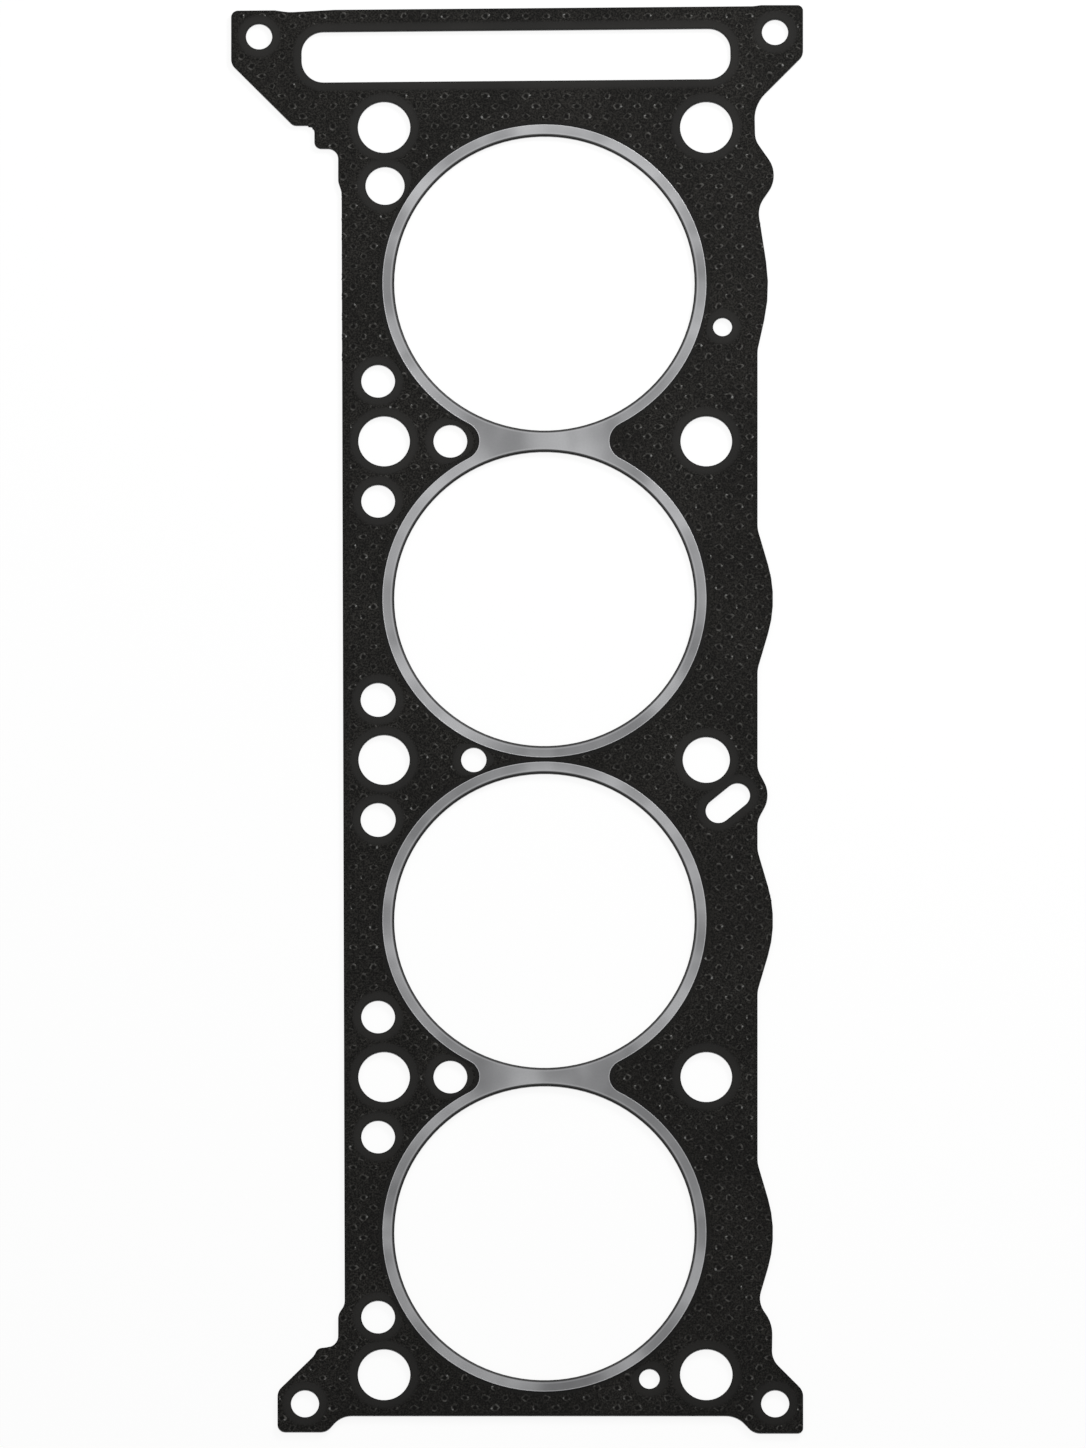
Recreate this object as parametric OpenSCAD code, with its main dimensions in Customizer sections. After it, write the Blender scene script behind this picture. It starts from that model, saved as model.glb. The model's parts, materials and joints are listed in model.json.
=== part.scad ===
// Cylinder head gasket for an in-line four-cylinder engine, seen from its upper (head) side.
// It lies flat: +Z is up, +Y points to the front (timing) end, +X to the right.
// The origin is midway between the second and fourth rows of head bolts, on the lowest face.

/* [Cylinder bores] */
// diameter inside the fire rings
bore_d = 96.1; // [70:0.1:99]
// bore 1 to bore 2, which share the front ring pair
front_pair_pitch = 103; // [99:0.1:130]
// bore 2 to bore 3, across the gap between the two ring pairs
middle_pitch = 105.1; // [99:0.1:132]
// bore 3 to bore 4, which share the rear ring pair
rear_pair_pitch = 102; // [99:0.1:130]
// sideways offset of the line of bores from the middle of the bolt columns
bore_x = -0.25; // [-3:0.05:3]

/* [Head bolts] */
// distance between the left and right columns of bolts
bolt_across = 103.1; // [80:0.1:130]
// front row of bolts to bore 1
front_row_to_bore = 51; // [40:0.1:65]
// bore 4 to the rear row of bolts
rear_bore_to_row = 46.2; // [38:0.1:60]
// hole of the four corner bolts
corner_hole_d = 16.8; // [11:0.1:19]
// hole of the four bolts in the second and fourth rows
inner_hole_d = 16.5; // [11:0.1:19]
// left hole of the middle row
centre_left_hole_d = 16.4; // [11:0.1:19]
// right hole of the middle row, a close fit that locates the gasket
centre_right_hole_d = 15.1; // [11:0.1:19]

/* [Coolant and oil holes] */
// coolant holes beside the left bolts of the inner rows
passage_d = 10.8; // [5:0.1:13]
// the pair beside the middle row
middle_passage_d = 11.2; // [5:0.1:13]
// coolant hole behind the front left bolt
front_passage_d = 12.5; // [5:0.1:14]
// how far that hole lies inboard of the left bolt column
front_passage_inset = 0.3; // [-2:0.1:4]
// how far the other coolant holes stand out past the left bolt column
passage_outset = 1.9; // [0:0.1:4]
// spacing of the coolant holes from the inner bolt rows
passage_offset = 19.6; // [15:0.1:24]
// spacing of the front coolant hole from the front bolt row
front_passage_offset = 19.1; // [15:0.1:24]
// spacing of the rear coolant hole from the rear bolt row
rear_passage_offset = 18.8; // [15:0.1:24]
// gap from the end of each steel web to the coolant hole beside it
web_passage_gap = 3.9; // [1:0.1:6]
// small hole between the ring pairs
gap_passage_d = 8.1; // [4:0.1:9]
// distance of that hole left of the line of bores
gap_passage_out = 22.6; // [20:0.1:28]
// oil feed hole beside bore 1
front_oil_d = 6.1; // [3:0.1:8]
// distance of the oil feed hole outboard of the right bolt column
front_oil_outset = 5.2; // [0:0.1:9]
// distance of the oil feed hole behind bore 1
front_oil_drop = 14.2; // [6:0.1:24]
// oil hole beside the rear right bolt
rear_oil_d = 6.6; // [3:0.1:8]
// distance of that oil hole inboard of the bolt
rear_oil_inset = 18.2; // [15:0.1:30]
// distance of that oil hole behind the rear bolt row
rear_oil_drop = 1.4; // [-2:0.1:4]
// width of the slanting oil drain slot
drain_w = 8.1; // [5:0.1:10]
// overall length of the drain slot
drain_l = 16; // [12:0.1:20]
// slant of the drain slot, degrees
drain_angle = 39.5; // [0:0.5:60]
// centre of the drain slot outboard of the middle bolt
drain_outset = 6.9; // [4:0.1:9]
// centre of the drain slot behind the middle bolt
drain_drop = 14.1; // [13:0.1:20]

/* [Front end] */
// front bolt row to the front edge, on the centre line
front_reach = 38.9; // [34:0.1:46]
// slope of the front edge, degrees
front_slope = 0.5; // [0:0.05:1]
// length of the timing slot
timing_l = 137.2; // [100:0.1:142]
// width of the timing slot
timing_w = 16.6; // [10:0.1:19]
// corner radius of the timing slot
timing_r = 7; // [2:0.1:8]
// sideways place of the middle of the timing slot
timing_x = -9.35; // [-12:0.05:-4]
// middle of the timing slot back from the front edge
timing_inset = 15.4; // [13:0.1:18]
// screw holes in the front ears
front_ear_hole_d = 8.4; // [5:0.1:9.5]
// front ear holes back from the front edge
front_ear_inset = 8.5; // [7:0.1:11]
// front left ear hole outboard of the bolt column
front_left_ear_outset = 40; // [34:0.5:46]
// front right ear hole outboard of the bolt column
front_right_ear_outset = 22; // [19:0.5:30]
// front ear hole to the side edge beside it
ear_half = 8.95; // [7:0.05:11]

/* [Rear end] */
// screw holes in the rear ears
rear_ear_hole_d = 9; // [5:0.1:10]
// rear ear holes behind the rear bolt row
rear_ear_drop = 9.5; // [7:0.1:12]
// rear left ear hole outboard of the bolt column
rear_left_ear_outset = 25.3; // [22:0.1:32]
// rear right ear hole outboard of the bolt column
rear_right_ear_outset = 22.05; // [19:0.05:30]
// rear edge behind the rear bolt row
rear_drop = 13.4; // [12:0.1:16]

/* [Outline] */
// straight right edge, outboard of the bolt column
right_margin = 16.4; // [14:0.1:22]
// straight left edge, outboard of the bolt column
left_margin = 13.1; // [12:0.1:20]
// how far the left edge draws in from front to rear, each way from the middle
left_taper = 0.5; // [0:0.1:1.5]
// how far the swells beside the bores stand out before rounding
swell_out = 6.6; // [2:0.1:9]
// half length of each swell
swell_half = 22.8; // [16:0.1:24]

/* [Layers] */
// thickness of each soft facing
facing_t = 0.55; // [0.3:0.05:0.9]
// thickness of the steel core sheet
core_t = 0.25; // [0.15:0.05:0.5]
// thickness of the fire ring steel
ring_t = 0.25; // [0.15:0.05:0.35]

/* [Fire rings] */
// width of the upper flange round each bore
flange_w = 3.8; // [2:0.1:4.2]
// width of the rolled lower flange
lower_flange_w = 2.6; // [1.2:0.1:3.4]
// least gap between the flanges of neighbouring bores, above and below
flange_gap = 0.6; // [0.3:0.1:1.5]
// outer radius of the rolled lip at the bore
lip_r = 0.5; // [0.4:0.05:0.8]
// clearance between the rolled lip and the cut edge of the layers
lip_clearance = 0.05; // [0.02:0.01:0.2]
// flat land from the rolled lip to where the flange plate begins
fold_land = 0.25; // [0.1:0.05:0.5]
// width of the web between the two bores of a pair, at its narrowest
web_w = 41.6; // [28:0.2:48]
// least radius of the web's hollow ends, where the two flanges nearly meet
web_tip_least_r = 2; // [1:0.5:4]

/* [Tanged core] */
// side of the square holes punched through the core
tang_side = 1.5; // [0.8:0.1:2.2]
// spacing of the holes along a row
tang_pitch_x = 6.5; // [5:0.1:10]
// spacing from one row to the next but one, which lines up with it
tang_pitch_y = 6.54; // [5:0.01:10]
// place of the punching across the sheet
tang_x = 0.3; // [-3:0.1:3]
// place of the punching along the sheet
tang_y = 0.6; // [-3:0.1:3]
// least land between a punched hole and an opening
tang_land = 2.1; // [0.8:0.1:5]
// least land between a punched hole and the outer edge
tang_edge_land = 0.7; // [0.4:0.1:3]

/* [Hidden] */
$fn = 96;
ring_facets = 180;
arc_step = 7.5;

// heights, from the lower flanges up
lower_z = ring_t;
core_z = lower_z + facing_t;
upper_z = core_z + core_t;
body_top_z = upper_z + facing_t;
total_t = body_top_z + ring_t;

// stations along the engine
row_2_y = (front_pair_pitch / 2 + middle_pitch + rear_pair_pitch / 2) / 2;
row_4_y = -row_2_y;
bore_1_y = row_2_y + front_pair_pitch / 2;
bore_2_y = row_2_y - front_pair_pitch / 2;
bore_3_y = row_4_y + rear_pair_pitch / 2;
bore_4_y = row_4_y - rear_pair_pitch / 2;
row_3_y = (bore_2_y + bore_3_y) / 2;
row_1_y = bore_1_y + front_row_to_bore;
row_5_y = bore_4_y - rear_bore_to_row;
bore_ys = [bore_1_y, bore_2_y, bore_3_y, bore_4_y];

bolt_x = bolt_across / 2;
passage_x = -bolt_x - passage_outset;
web_passage_x = bore_x - web_w / 2 - web_passage_gap - passage_d / 2;
right_x = bolt_x + right_margin;
left_front_x = -bolt_x - left_margin - left_taper;
left_rear_x = -bolt_x - left_margin + left_taper;

// the front edge slopes a little, and the ears and the timing slot follow it
function front_y(x) = row_1_y + front_reach + x * tan(front_slope);
function behind_front(x, inset) = [x, front_y(x) - inset];
front_left_ear = behind_front(-bolt_x - front_left_ear_outset, front_ear_inset);
front_right_ear = behind_front(bolt_x + front_right_ear_outset, front_ear_inset);
timing_c = behind_front(timing_x, timing_inset);
rear_left_ear = [-bolt_x - rear_left_ear_outset, row_5_y - rear_ear_drop];
rear_right_ear = [bolt_x + rear_right_ear_outset, row_5_y - rear_ear_drop];
rear_edge_y = row_5_y - rear_drop;
drain_c = [bolt_x + drain_outset, row_3_y - drain_drop];

// radii round each bore, from the ring's wall outwards
bore_r = bore_d / 2;
body_bore_r = bore_r + lip_r + lip_clearance;
plate_root_r = bore_r + lip_r + fold_land;
narrow_pitch = min(front_pair_pitch, rear_pair_pitch);
flange_r = min(bore_r + flange_w, (middle_pitch - flange_gap) / 2);
lower_flange_r = min(bore_r + lower_flange_w, (narrow_pitch - flange_gap) / 2);

// every round hole as [x, y, diameter]
bolt_holes = [
    for (side = [-1, 1], y = [row_1_y, row_5_y]) [side * bolt_x, y, corner_hole_d],
    for (side = [-1, 1], y = [row_2_y, row_4_y]) [side * bolt_x, y, inner_hole_d],
    [-bolt_x, row_3_y, centre_left_hole_d],
    [bolt_x, row_3_y, centre_right_hole_d]
];
ear_holes = [
    for (c = [front_left_ear, front_right_ear]) [c[0], c[1], front_ear_hole_d],
    for (c = [rear_left_ear, rear_right_ear]) [c[0], c[1], rear_ear_hole_d]
];
passage_holes = [
    [-bolt_x + front_passage_inset, row_1_y - front_passage_offset, front_passage_d],
    for (y = [row_2_y, row_4_y], side = [1, -1]) [passage_x, y + side * passage_offset, passage_d],
    for (side = [1, -1]) [passage_x, row_3_y + side * passage_offset, middle_passage_d],
    [passage_x, row_5_y + rear_passage_offset, passage_d],
    for (y = [row_2_y, row_4_y]) [web_passage_x, y, passage_d],
    [bore_x - gap_passage_out, row_3_y, gap_passage_d],
    [bolt_x + front_oil_outset, bore_1_y - front_oil_drop, front_oil_d],
    [bolt_x - rear_oil_inset, row_5_y - rear_oil_drop, rear_oil_d]
];
round_holes = concat(bolt_holes, ear_holes, passage_holes);

// Corners of the outline before rounding, clockwise from the front left, as [x, y, corner radius].
// Each is placed from the hole, ear or straight edge that it goes with.
front_corners = [
    [front_left_ear[0] - ear_half, front_y(front_left_ear[0] - ear_half), 2.2],
    [front_left_ear[0] + 5, front_y(front_left_ear[0] + 5), 4],
    [front_left_ear[0] + 9.5, front_y(front_left_ear[0] + 9.5) - 0.7, 14],
    [front_left_ear[0] + 24, front_y(front_left_ear[0] + 24), 4],
    [front_right_ear[0] - 7, front_y(front_right_ear[0] - 7), 4],
    [front_right_ear[0] - 4.5, front_y(front_right_ear[0]) + 0.3, 4],
    [front_right_ear[0] + ear_half, front_y(front_right_ear[0]) + 0.3, 1.8]
];

// a bump of the right edge, as its foot, its crown and its other foot, front end first
function bump(y, out, crown_r, front_half, rear_half, foot_r) = [
    [right_x, y + front_half, foot_r],
    [right_x + out, y, crown_r],
    [right_x, y - rear_half, foot_r]
];

right_corners = concat(
    [
        [front_right_ear[0] + ear_half, front_right_ear[1] - 7.6, 4],
        [right_x - 1, row_1_y + 7.6, 11.5],
        [right_x - 0.75, row_1_y - 4.2, 7],
        [right_x + 7.1, row_1_y - 15.6, 10.5],
        [right_x, row_1_y - 26, 9],
        [right_x + 4.2, bore_1_y - 2.4, 60],
        [right_x, bore_1_y - 21.6, 9]
    ],
    bump(bore_2_y, swell_out, 43, swell_half, swell_half, 10),
    bump(drain_c[1] + 2.6, 4.3, 10, 8.3, 8.2, 7),
    bump(bore_3_y, swell_out, 43, swell_half, swell_half, 10),
    bump(bore_4_y, swell_out, 43, swell_half, swell_half, 10),
    [
        [right_x + 4.8, row_5_y + 16.9, 12],
        [right_x + 4.6, row_5_y + 4.9, 7],
        [rear_right_ear[0] + ear_half, rear_right_ear[1] + 4.2, 4.6]
    ]
);
rear_corners = [
    [rear_right_ear[0] + ear_half, rear_right_ear[1] - 9.6, 1.8],
    [rear_right_ear[0] - 6.9, rear_right_ear[1] - 9.6, 5],
    [rear_right_ear[0] - 12.3, rear_edge_y, 8.2],
    [rear_left_ear[0] + 11.6, rear_edge_y, 7.4],
    [rear_left_ear[0] + 6.9, rear_left_ear[1] - 9.2, 4.3],
    [rear_left_ear[0] - 8.8, rear_left_ear[1] - 9.2, 2.5]
];
left_corners = [
    [rear_left_ear[0] - 8.8, rear_left_ear[1] + 4, 4],
    [rear_left_ear[0] + 2.9, row_5_y + 6.1, 5.4],
    [rear_left_ear[0] + 4, row_5_y + 8.5, 2.4],
    [left_rear_x - 2.1, row_5_y + 9.3, 4.5],
    [left_rear_x - 2.1, row_5_y + 19.8, 5],
    [left_rear_x, row_5_y + 22.5, 4.8],
    [left_front_x, row_1_y - 21, 6],
    [left_front_x - 1.1, row_1_y - 17.7, 5.2],
    [left_front_x - 1.1, row_1_y - 7, 3.2],
    [left_front_x - 8.7, row_1_y - 6.9, 2.2],
    [left_front_x - 8.7, row_1_y + 0.6, 2.3],
    [left_front_x - 15.5, row_1_y + 0.6, 2.6],
    [front_left_ear[0] - ear_half, front_left_ear[1] - 8.9, 4.1]
];
outline_corners = concat(front_corners, right_corners, rear_corners, left_corners);

function xy(p) = [p[0], p[1]];
function unit(v) = v / norm(v);
function at_angle(a) = [cos(a), sin(a)];

// the arc that rounds corner p between its neighbours a and b
function corner_arc(a, p, b, r) =
    let (u = unit(a - p))
    let (v = unit(b - p))
    let (half = acos(max(-1, min(1, u * v))) / 2)
    let (run = min(r / tan(half), 0.49 * norm(a - p), 0.49 * norm(b - p)))
    let (fitted_r = run * tan(half))
    let (c = p + unit(u + v) * (fitted_r / sin(half)))
    let (from = p + u * run - c)
    let (to = p + v * run - c)
    let (start = atan2(from[1], from[0]))
    let (sweep = (atan2(to[1], to[0]) - start + 540) % 360 - 180)
    let (steps = max(2, ceil(abs(sweep) / arc_step)))
    [for (k = [0 : steps]) c + fitted_r * at_angle(start + sweep * k / steps)];

function rounded(corners) =
    let (n = len(corners))
    [for (i = [0 : n - 1]) each corner_arc(
        xy(corners[(i + n - 1) % n]), xy(corners[i]), xy(corners[(i + 1) % n]), corners[i][2])];

// the outline shared by both facings and the core
outline_points = rounded(outline_corners);

module blank_outline() {
    polygon(outline_points);
}

module slot_2d(length, width, r) {
    x = length / 2;
    y = width / 2;
    polygon(rounded([[-x, y, r], [x, y, r], [x, -y, r], [-x, -y, r]]));
}

module drain_2d() {
    r = drain_w / 2;
    run = drain_l / 2 - r;
    union() {
        square([2 * run, drain_w], center = true);
        for (side = [-1, 1]) translate([side * run, 0]) circle(r = r);
    }
}

// all openings in the three pressed layers
module openings_2d() {
    for (y = bore_ys) translate([bore_x, y]) circle(r = body_bore_r);
    for (h = round_holes) translate(xy(h)) circle(d = h[2]);
    translate(timing_c) rotate(front_slope) slot_2d(timing_l, timing_w, timing_r);
    translate(drain_c) rotate(drain_angle) drain_2d();
}

module layer_2d() {
    difference() {
        blank_outline();
        openings_2d();
    }
}

module upper_facing() {
    color([0.13, 0.13, 0.12])
    translate([0, 0, upper_z])
    linear_extrude(facing_t)
    layer_2d();
}

module lower_facing() {
    color([0.13, 0.13, 0.12])
    translate([0, 0, lower_z])
    linear_extrude(facing_t)
    layer_2d();
}

// a punched hole is kept only where the sheet is sound all round it, measured from its corners
tang_reach = tang_side / sqrt(2);
opening_reach = tang_land + tang_reach;
edge_reach = tang_edge_land + tang_reach;

function clear_of_holes(p) =
    min([for (h = round_holes) norm(p - xy(h)) - h[2] / 2]) > opening_reach
    && min([for (y = bore_ys) norm(p - [bore_x, y]) - body_bore_r]) > opening_reach;

// distance to a slot whose corners have the radius r
function to_slot(p, c, angle, length, width, r) =
    let (q = p - c)
    let (along = abs(q * at_angle(angle)) - length / 2 + r)
    let (aside = abs(q * at_angle(angle + 90)) - width / 2 + r)
    norm([max(0, along), max(0, aside)]) - r;

function clear_of_slots(p) =
    to_slot(p, timing_c, front_slope, timing_l, timing_w, timing_r) > opening_reach
    && to_slot(p, drain_c, drain_angle, drain_l, drain_w, drain_w / 2) > opening_reach;

function to_segment(p, a, b) =
    let (d = b - a)
    let (t = max(0, min(1, (p - a) * d / (d * d))))
    norm(p - a - d * t);

function crosses(p, a, b) =
    (a[1] > p[1]) != (b[1] > p[1])
    && p[0] < a[0] + (b[0] - a[0]) * (p[1] - a[1]) / (b[1] - a[1]) ? 1 : 0;

function sum(list, i = 0, total = 0) = i == len(list) ? total : sum(list, i + 1, total + list[i]);

outline_sides = [
    for (i = [0 : len(outline_points) - 1])
    [outline_points[i], outline_points[(i + 1) % len(outline_points)]]
];

function inside_outline(p) =
    sum([for (s = outline_sides) crosses(p, s[0], s[1])]) % 2 == 1
    && min([for (s = outline_sides) to_segment(p, s[0], s[1])]) > edge_reach;

// the punching tool's grid: rows of holes, with a hole of the next row midway between them
outline_xs = [for (p = outline_points) p[0]];
outline_ys = [for (p = outline_points) p[1]];
columns = [floor(min(outline_xs) / tang_pitch_x) : ceil(max(outline_xs) / tang_pitch_x)];
rows = [floor(min(outline_ys) / tang_pitch_y) : ceil(max(outline_ys) / tang_pitch_y)];
tang_points = [
    for (row = rows, column = columns, half = [0, 0.5])
    let (p = [tang_x + (column + half) * tang_pitch_x, tang_y + (row + half) * tang_pitch_y])
    if (clear_of_holes(p) && clear_of_slots(p) && inside_outline(p)) p
];

module tanged_core() {
    color([0.45, 0.45, 0.46])
    translate([0, 0, core_z])
    linear_extrude(core_t)
    difference() {
        layer_2d();
        for (p = tang_points) translate(p) rotate(45) square(tang_side, center = true);
    }
}

// half section of the folded ring: upper flange root, rolled lip, bore wall, rolled lip, lower flange
lip_angles = [for (k = [0 : 4]) 22.5 * k];

module ring_section() {
    inner_r = lip_r - ring_t;
    top = total_t - lip_r;
    x = bore_r + lip_r;
    polygon(concat(
        [[plate_root_r, total_t]],
        [for (a = lip_angles) [x - lip_r * sin(a), top + lip_r * cos(a)]],
        [for (a = lip_angles) [x - lip_r * cos(a), lip_r - lip_r * sin(a)]],
        [[lower_flange_r, 0], [lower_flange_r, ring_t]],
        [for (a = lip_angles) [x - inner_r * sin(a), lip_r - inner_r * cos(a)]],
        [for (a = lip_angles) [x - inner_r * cos(a), top + inner_r * sin(a)]],
        [[plate_root_r, body_top_z]]
    ));
}

module folded_ring() {
    rotate_extrude($fn = ring_facets) ring_section();
}

// The upper flange of a pair is two discs joined by a web. Each end of the web is an arc that
// runs into both discs, and its radius follows from the web's width and the pitch of the bores.
module pair_flange_2d(pitch) {
    half = pitch / 2;
    crossing = sqrt(max(0, flange_r * flange_r - half * half));
    neck = max(web_w / 2, crossing + web_tip_least_r);
    tip_r = (half * half + neck * neck - flange_r * flange_r) / (2 * (flange_r - neck));
    tip_angle = atan2(half, neck + tip_r);
    disc_steps = 100;
    tip_steps = 14;
    disc_arc = [
        for (k = [0 : disc_steps])
        let (a = -tip_angle + (180 + 2 * tip_angle) * k / disc_steps)
        [0, half] + flange_r * at_angle(a)
    ];
    tip_arc = [
        for (k = [1 : tip_steps - 1])
        [-neck - tip_r, 0] + tip_r * at_angle(tip_angle - 2 * tip_angle * k / tip_steps)
    ];
    half_outline = concat(disc_arc, tip_arc);
    difference() {
        polygon(concat(half_outline, [for (p = half_outline) -p]));
        for (side = [1, -1]) translate([0, side * half]) circle(r = plate_root_r, $fn = ring_facets);
    }
}

module ring_pair(mid_y, pitch) {
    color([0.62, 0.62, 0.63])
    translate([bore_x, mid_y, 0])
    union() {
        translate([0, 0, body_top_z]) linear_extrude(ring_t) pair_flange_2d(pitch);
        for (side = [1, -1]) translate([0, side * pitch / 2, 0]) folded_ring();
    }
}

module front_fire_ring_pair() {
    ring_pair(row_2_y, front_pair_pitch);
}

module rear_fire_ring_pair() {
    ring_pair(row_4_y, rear_pair_pitch);
}

lower_facing();
tanged_core();
upper_facing();
front_fire_ring_pair();
rear_fire_ring_pair();
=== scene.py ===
import json
import math
import random

import bmesh
import bpy
import numpy as np
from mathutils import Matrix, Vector
from mathutils.kdtree import KDTree

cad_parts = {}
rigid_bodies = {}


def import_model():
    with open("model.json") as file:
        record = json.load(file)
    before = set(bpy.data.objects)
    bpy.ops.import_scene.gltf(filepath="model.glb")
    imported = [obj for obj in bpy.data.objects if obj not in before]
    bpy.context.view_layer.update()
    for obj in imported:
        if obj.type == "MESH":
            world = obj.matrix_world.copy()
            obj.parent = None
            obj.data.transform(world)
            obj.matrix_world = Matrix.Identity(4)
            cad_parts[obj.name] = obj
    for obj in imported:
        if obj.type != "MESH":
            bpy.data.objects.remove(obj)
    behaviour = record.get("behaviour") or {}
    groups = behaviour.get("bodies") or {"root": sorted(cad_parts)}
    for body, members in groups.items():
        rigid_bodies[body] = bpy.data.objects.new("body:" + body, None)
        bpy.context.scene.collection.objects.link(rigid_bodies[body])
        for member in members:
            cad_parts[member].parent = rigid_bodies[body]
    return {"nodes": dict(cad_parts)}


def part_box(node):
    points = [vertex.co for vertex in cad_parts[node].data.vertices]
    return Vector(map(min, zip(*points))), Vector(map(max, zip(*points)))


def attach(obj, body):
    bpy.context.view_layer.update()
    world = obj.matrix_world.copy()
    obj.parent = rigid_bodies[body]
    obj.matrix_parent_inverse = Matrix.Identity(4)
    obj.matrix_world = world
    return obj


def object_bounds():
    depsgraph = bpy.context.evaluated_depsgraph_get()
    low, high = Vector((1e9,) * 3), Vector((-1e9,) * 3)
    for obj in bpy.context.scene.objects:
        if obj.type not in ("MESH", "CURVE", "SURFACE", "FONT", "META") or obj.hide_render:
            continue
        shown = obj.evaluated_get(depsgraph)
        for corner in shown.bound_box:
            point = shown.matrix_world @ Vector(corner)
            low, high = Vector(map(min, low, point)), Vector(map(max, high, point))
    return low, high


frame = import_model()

mm = 0.001
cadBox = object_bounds()
nodes = frame["nodes"]
print("frame loaded:", ", ".join(sorted(nodes)))

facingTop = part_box("upper_facing")[1].z
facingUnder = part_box("lower_facing")[0].z
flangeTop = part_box("front_fire_ring_pair")[1].z


flatFace = {"mergeWithin": 0.002 * mm, "leastLevel": 0.99, "offHeight": 0.01 * mm}


def flatLoops(node, height, up):
    # closed outlines of a node's flat faces at one height, solid on the left
    bm = bmesh.new()
    bm.from_mesh(nodes[node].data)
    bmesh.ops.remove_doubles(bm, verts=bm.verts, dist=flatFace["mergeWithin"])
    side = 1 if up else -1
    inOrder = [f for f in bm.faces if f.normal.z * side > flatFace["leastLevel"]
               and abs(f.calc_center_median().z - height) < flatFace["offHeight"]]
    flat = set(inOrder)
    following = {}
    for face in inOrder:  # a set's own order would change from run to run
        for corner in face.loops:
            if not any(f in flat for f in corner.edge.link_faces if f is not face):
                following[corner.vert.index] = corner.link_loop_next.vert.index
    bm.verts.ensure_lookup_table()
    loops = []
    while following:
        start, here = following.popitem()
        chain = [start]
        while here != start:
            chain.append(here)
            here = following.pop(here)
        loop = np.array([bm.verts[i].co.xy[:] for i in chain])
        loops.append(loop if up else loop[::-1])
    bm.free()
    return loops


def loopArea(loop):
    x, y = loop[:, 0], loop[:, 1]
    return 0.5 * np.sum(x * np.roll(y, -1) - y * np.roll(x, -1))


def segments(loops):
    starts = np.concatenate(loops)
    ends = np.concatenate([np.roll(loop, -1, axis=0) for loop in loops])
    return starts, ends


def distanceTo(points, loops):
    # from each point to the nearest side of the given outlines
    starts, ends = segments(loops)
    run = ends - starts
    length2 = np.maximum((run ** 2).sum(1), 1e-16)
    result = np.empty(len(points))
    batch = 400  # points at a time, which keeps the arrays small
    for k in range(0, len(points), batch):
        gap = points[k:k + batch, None, :] - starts[None]
        t = np.clip((gap * run[None]).sum(2) / length2, 0, 1)
        away = gap - run[None] * t[:, :, None]
        result[k:k + batch] = np.sqrt((away ** 2).sum(2)).min(1)
    return result


def smooth(low, high, x):
    # eased step from 0 at low to 1 at high
    t = np.clip((x - low) / (high - low), 0, 1)
    return t * t * (3 - 2 * t)


sheetLoops = flatLoops("upper_facing", facingTop, True)
sheetEdge = max(sheetLoops, key=loopArea)
openings = [loop for loop in sheetLoops if loop is not sheetEdge]
leastBoreArea = (80 * mm) ** 2
boreCuts = [loop for loop in openings if abs(loopArea(loop)) > leastBoreArea]
portCuts = [loop for loop in openings if not any(loop is cut for cut in boreCuts)]
boreCentres = sorted((cut.mean(0) for cut in boreCuts), key=lambda c: -c[1])

ringPairs = ("front_fire_ring_pair", "rear_fire_ring_pair")
upperFlanges = [max(flatLoops(n, flangeTop, True), key=loopArea) for n in ringPairs]
lowerFlanges = []
for name in ringPairs:
    found = flatLoops(name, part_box(name)[0].z, False)
    lowerFlanges += [loop for loop in found if loopArea(loop) > 0]
print("outlines:", len(portCuts), "ports,", len(boreCuts), "bores,",
      len(upperFlanges), "upper and", len(lowerFlanges), "lower flanges")


def makePiece(name, points, faces, material, layers=()):
    mesh = bpy.data.meshes.new(name)
    mesh.from_pydata([tuple(p) for p in points], [], faces)
    for label, values in layers:
        layer = mesh.attributes.new(label, "FLOAT", "POINT")
        layer.data.foreach_set("value", np.asarray(values, np.float32))
    mesh.materials.append(material)
    mesh.validate()
    piece = bpy.data.objects.new(name, mesh)
    bpy.context.scene.collection.objects.link(piece)
    return piece


# Smooth coating that runs along the openings, the flanges and the outer edge. Each strip starts
# on its outline and ends where it meets the strip of a neighbour. Its darkening (edgeShade) is
# painted shade: a dark line along each opening and along the outer edge, a darker rim where a
# neighbour squeezes it, and a dark band beside each flange that is partly the pressed coat's own
# tone and partly painted shadow. Its lighter tone towards each opening (rimSheen) is a painted
# sheen.
coating = {
    "rimWidth": 3.2 * mm,
    "rimHeight": 0.035 * mm,
    "flangeBandWidth": 1.5 * mm,
    "edgeWidth": 0.55 * mm,
    "lowHeight": 0.008 * mm,
    "sunk": 0.03 * mm,
    "stations": (0, 0.06, 0.2, 0.45, 0.7, 0.86, 1),  # shares of the way across
    "flangeOverlap": 0.06,  # share that runs in under a flange
    "searchSteps": 11,
}
# How height and tone change across a strip. A pair is where a change starts and ends, as shares
# of the width, and a single number is a level. The sheen entry places the painted sheen; the
# dark and squeezed entries place the painted shade.
coatingFade = {
    "rimRise": (-0.03, 0.1),
    "rimFall": (0.68, 1.0),
    "rimLeast": 0.03,
    "rimSmooth": (0.66, 1.0),
    "rimSheen": (0.1, 0.9),
    "rimDark": (0.02, 0.13),
    "rimSqueezed": 0.6,
    "flangeSmooth": (0.5, 1.0),
    "flangeDark": (0.25, 1.0),
    "flangeDarkest": 0.85,
    "edgeDark": (0.3, 1.0),
    "edgeDarkest": 0.9,
    "besideSmooth": 0.6,
    "lowSlope": 0.8,
}


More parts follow.
